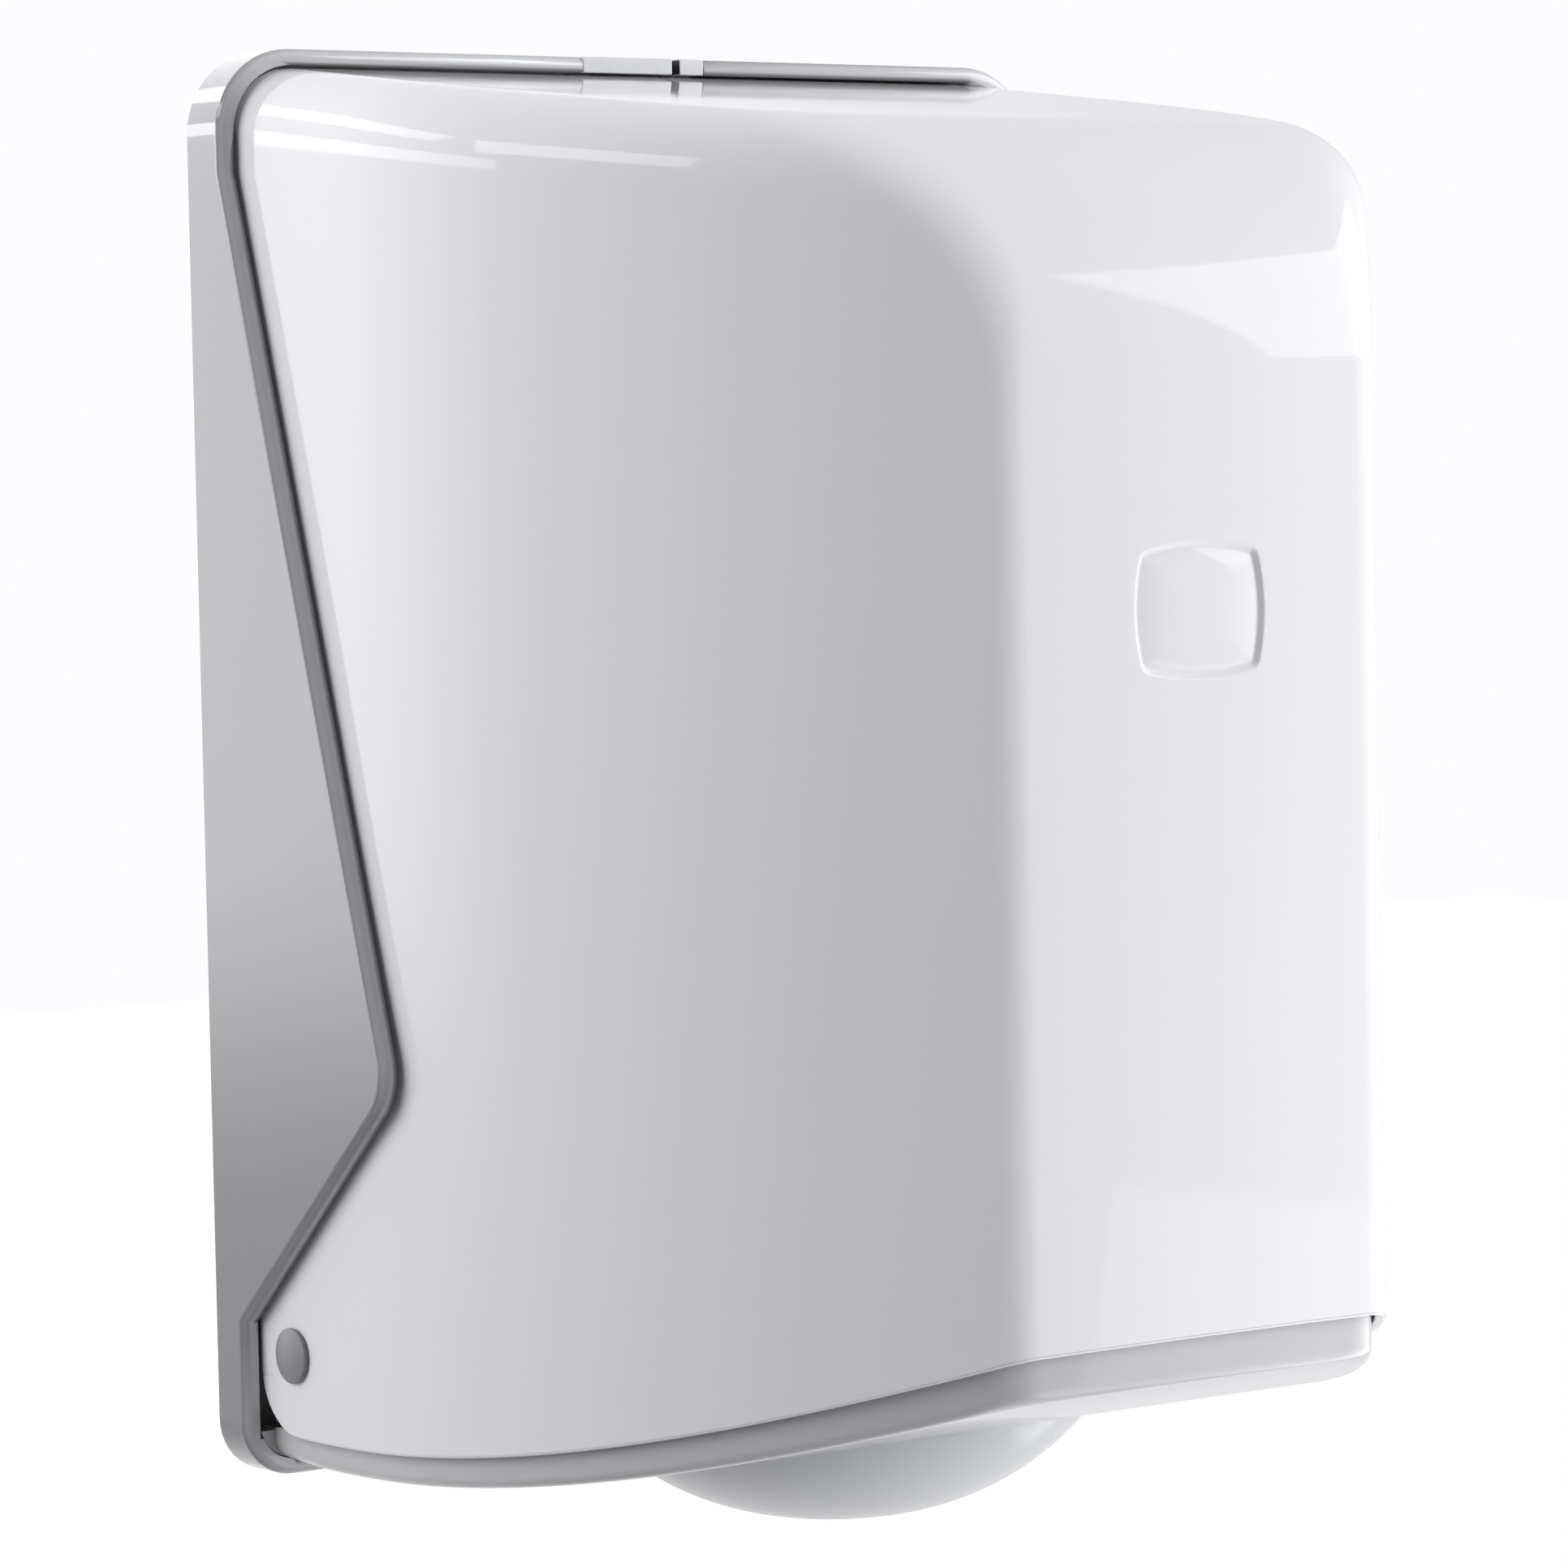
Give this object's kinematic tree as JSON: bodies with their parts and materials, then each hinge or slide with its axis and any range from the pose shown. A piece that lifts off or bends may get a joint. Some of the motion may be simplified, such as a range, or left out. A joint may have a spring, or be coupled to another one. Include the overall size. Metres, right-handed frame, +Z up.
{
  "type": "centrefeed roll dispenser",
  "caption": "Wall-mounted centrefeed paper roll dispenser: hinged rounded front cover on a cheeked back shell, roll platform, bowl-shaped outlet below and a sprung key latch on top.",
  "frame": {"origin": "middle of the wall screw pattern, on the wall face of the back shell", "axes": "+X to the right seen from the front, -Y out of the wall towards the user, +Z up"},
  "size_m": [0.25, 0.231, 0.3591],
  "materials": {
    "white_abs": "high gloss moulded white ABS",
    "grey_abs": "gloss moulded grey ABS",
    "light_grey_abs": "satin gloss moulded light grey ABS",
    "clear_window": "clear moulded polycarbonate",
    "white_acetal": "plain moulded acetal",
    "zinc_steel": "bright zinc plated",
    "spring_steel": "plain spring steel",
    "nozzle_rubber": "soft matt rubber"
  },
  "bodies": {
    "housing": {"back_shell": "grey_abs", "base_tray": "grey_abs", "tray_screws": "zinc_steel", "roll_platform": "light_grey_abs", "platform_screws": "zinc_steel", "outlet_bowl": "light_grey_abs", "bowl_screws": "zinc_steel", "nozzle_disc": "nozzle_rubber", "nozzle_ring": "light_grey_abs", "nozzle_screws": "zinc_steel", "hinge_pin_left": "grey_abs", "hinge_pin_right": "grey_abs", "pin_clip_left": "spring_steel", "pin_clip_right": "spring_steel", "lock_housing": "light_grey_abs", "lock_screws": "zinc_steel", "key_window": "clear_window", "latch_spring": "spring_steel"},
    "latch": {"latch_bolt": "white_acetal"},
    "cover": {"front_cover": "white_abs"}
  },
  "joints": [
    {"name": "cover_hinge", "type": "hinge", "parent": "housing", "child": "cover", "pos_m": [0, -0.027, -0.1537], "axis": [1, 0, 0], "range_deg": [0, 72]},
    {"name": "latch_slide", "type": "slide", "parent": "housing", "child": "latch", "axis": [0, 0, -1], "range_m": [0, 0.0045], "stiffness_N_per_m": 300, "springref_m": -0.005, "deforming": ["latch_spring"]}
  ]
}
